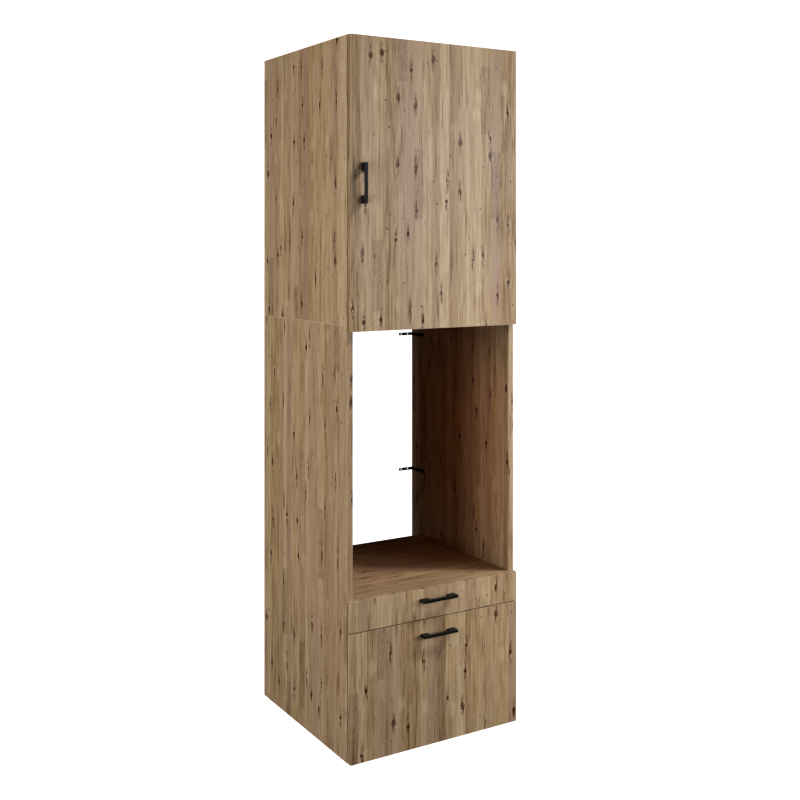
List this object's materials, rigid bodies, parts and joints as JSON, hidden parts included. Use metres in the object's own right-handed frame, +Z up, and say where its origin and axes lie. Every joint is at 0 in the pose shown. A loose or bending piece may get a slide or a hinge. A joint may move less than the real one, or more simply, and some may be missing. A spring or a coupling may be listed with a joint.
{
  "type": "tall housing cabinet for a built-in appliance",
  "caption": "Tall kitchen housing cabinet in pine decor: hinged door above, open niche for a built-in appliance, shallow and deep drawer below.",
  "frame": {"origin": "on the floor, under the middle of the cabinet with its handles", "axes": "+Z up, fronts and handles face -Y, +X to the right seen from the front"},
  "size_m": [0.6, 0.626, 2.127],
  "materials": {
    "pine_decor": "knotty pine decor on particleboard, satin",
    "hardboard": "thin hardboard, smooth face",
    "beech": "turned beech, unfinished",
    "nickel_plated_steel": "nickel plated, satin",
    "black_handle": "matte black powder coat",
    "black_bracket": "thin black coating on steel strip",
    "white_runner": "white epoxy coat",
    "nylon": "moulded nylon",
    "glide": "moulded plastic, matte",
    "clear_bumper": "soft clear bumper"
  },
  "bodies": {
    "cabinet": {"lower_left_side": "pine_decor", "lower_right_side": "pine_decor", "bottom_panel": "pine_decor", "niche_floor": "pine_decor", "lower_top_panel": "pine_decor", "drawer_back_panel": "hardboard", "upper_left_side": "pine_decor", "upper_right_side": "pine_decor", "upper_bottom_panel": "pine_decor", "upper_top_panel": "pine_decor", "upper_back_panel": "hardboard", "shelf": "pine_decor", "shelf_pins": "nickel_plated_steel", "glides": "glide", "cam_locks": "nickel_plated_steel", "cam_bolts": "nickel_plated_steel", "dowels": "beech", "joining_screws": "nickel_plated_steel", "wall_brackets": "black_bracket", "bracket_screws": "nickel_plated_steel", "hinge_arms": "nickel_plated_steel", "hinge_plates": "nickel_plated_steel", "hinge_plate_screws": "nickel_plated_steel", "shallow_cabinet_runners": "white_runner", "deep_cabinet_runners": "white_runner", "runner_screws": "nickel_plated_steel"},
    "door": {"door_panel": "pine_decor", "door_handle": "black_handle", "door_handle_screws": "nickel_plated_steel", "hinge_cups": "nickel_plated_steel", "hinge_cup_screws": "nickel_plated_steel", "door_bumpers": "clear_bumper"},
    "hinge_outer_links": {"hinge_outer_links": "nickel_plated_steel"},
    "hinge_inner_links": {"hinge_inner_links": "nickel_plated_steel"},
    "shallow_drawer": {"shallow_front": "pine_decor", "shallow_left_side": "pine_decor", "shallow_right_side": "pine_decor", "shallow_back": "pine_decor", "shallow_bottom": "hardboard", "shallow_handle": "black_handle", "shallow_handle_screws": "nickel_plated_steel", "shallow_fittings": "nickel_plated_steel", "shallow_drawer_runners": "white_runner"},
    "shallow_front_roller_left": {"shallow_front_roller_left": "nylon"},
    "shallow_front_roller_right": {"shallow_front_roller_right": "nylon"},
    "shallow_rear_roller_left": {"shallow_rear_roller_left": "nylon"},
    "shallow_rear_roller_right": {"shallow_rear_roller_right": "nylon"},
    "deep_drawer": {"deep_front": "pine_decor", "deep_left_side": "pine_decor", "deep_right_side": "pine_decor", "deep_back": "pine_decor", "deep_bottom": "hardboard", "deep_handle": "black_handle", "deep_handle_screws": "nickel_plated_steel", "deep_fittings": "nickel_plated_steel", "deep_drawer_runners": "white_runner"},
    "deep_front_roller_left": {"deep_front_roller_left": "nylon"},
    "deep_front_roller_right": {"deep_front_roller_right": "nylon"},
    "deep_rear_roller_left": {"deep_rear_roller_left": "nylon"},
    "deep_rear_roller_right": {"deep_rear_roller_right": "nylon"}
  },
  "joints": [
    {"name": "outer_link_swing", "type": "hinge", "parent": "cabinet", "child": "hinge_outer_links", "pos_m": [0.2648, -0.278, 1.693], "axis": [0, 0, -1], "range_deg": [0, 26.37]},
    {"name": "door_swing", "type": "hinge", "parent": "hinge_outer_links", "child": "door", "pos_m": [0.288, -0.27715, 1.693], "axis": [0, 0, 1], "range_deg": [0, 121.36]},
    {"name": "inner_link_swing", "type": "hinge", "parent": "cabinet", "child": "hinge_inner_links", "pos_m": [0.262, -0.2684, 1.693], "axis": [0, 0, -1], "range_deg": [0, 37.83]},
    {"name": "shallow_drawer_slide", "type": "slide", "parent": "cabinet", "child": "shallow_drawer", "axis": [0, -1, 0], "range_m": [0, 0.38]},
    {"name": "shallow_front_roller_left_spin", "type": "hinge", "parent": "cabinet", "child": "shallow_front_roller_left", "pos_m": [-0.2763, -0.255, 0.4077], "axis": [1, 0, 0], "range_deg": [0, 2000]},
    {"name": "shallow_front_roller_right_spin", "type": "hinge", "parent": "cabinet", "child": "shallow_front_roller_right", "pos_m": [0.2763, -0.255, 0.4077], "axis": [1, 0, 0], "range_deg": [0, 2000]},
    {"name": "shallow_rear_roller_left_spin", "type": "hinge", "parent": "shallow_drawer", "child": "shallow_rear_roller_left", "pos_m": [-0.2752, 0.221, 0.4045], "axis": [1, 0, 0], "range_deg": [0, 2000]},
    {"name": "shallow_rear_roller_right_spin", "type": "hinge", "parent": "shallow_drawer", "child": "shallow_rear_roller_right", "pos_m": [0.2752, 0.221, 0.4045], "axis": [1, 0, 0], "range_deg": [0, 2000]},
    {"name": "deep_drawer_slide", "type": "slide", "parent": "cabinet", "child": "deep_drawer", "axis": [0, -1, 0], "range_m": [0, 0.38]},
    {"name": "deep_front_roller_left_spin", "type": "hinge", "parent": "cabinet", "child": "deep_front_roller_left", "pos_m": [-0.2763, -0.255, 0.0467], "axis": [1, 0, 0], "range_deg": [0, 2000]},
    {"name": "deep_front_roller_right_spin", "type": "hinge", "parent": "cabinet", "child": "deep_front_roller_right", "pos_m": [0.2763, -0.255, 0.0467], "axis": [1, 0, 0], "range_deg": [0, 2000]},
    {"name": "deep_rear_roller_left_spin", "type": "hinge", "parent": "deep_drawer", "child": "deep_rear_roller_left", "pos_m": [-0.2752, 0.221, 0.0435], "axis": [1, 0, 0], "range_deg": [0, 2000]},
    {"name": "deep_rear_roller_right_spin", "type": "hinge", "parent": "deep_drawer", "child": "deep_rear_roller_right", "pos_m": [0.2752, 0.221, 0.0435], "axis": [1, 0, 0], "range_deg": [0, 2000]}
  ],
  "couplings": [
    {"joint": "outer_link_swing", "follows": "door_swing", "ratio": 0.21721},
    {"joint": "inner_link_swing", "follows": "door_swing", "ratio": 0.31163},
    {"joint": "shallow_front_roller_left_spin", "follows": "shallow_drawer_slide", "rad_per_m": 90.909},
    {"joint": "shallow_front_roller_right_spin", "follows": "shallow_drawer_slide", "rad_per_m": 90.909},
    {"joint": "shallow_rear_roller_left_spin", "follows": "shallow_drawer_slide", "rad_per_m": 90.909},
    {"joint": "shallow_rear_roller_right_spin", "follows": "shallow_drawer_slide", "rad_per_m": 90.909},
    {"joint": "deep_front_roller_left_spin", "follows": "deep_drawer_slide", "rad_per_m": 90.909},
    {"joint": "deep_front_roller_right_spin", "follows": "deep_drawer_slide", "rad_per_m": 90.909},
    {"joint": "deep_rear_roller_left_spin", "follows": "deep_drawer_slide", "rad_per_m": 90.909},
    {"joint": "deep_rear_roller_right_spin", "follows": "deep_drawer_slide", "rad_per_m": 90.909}
  ]
}
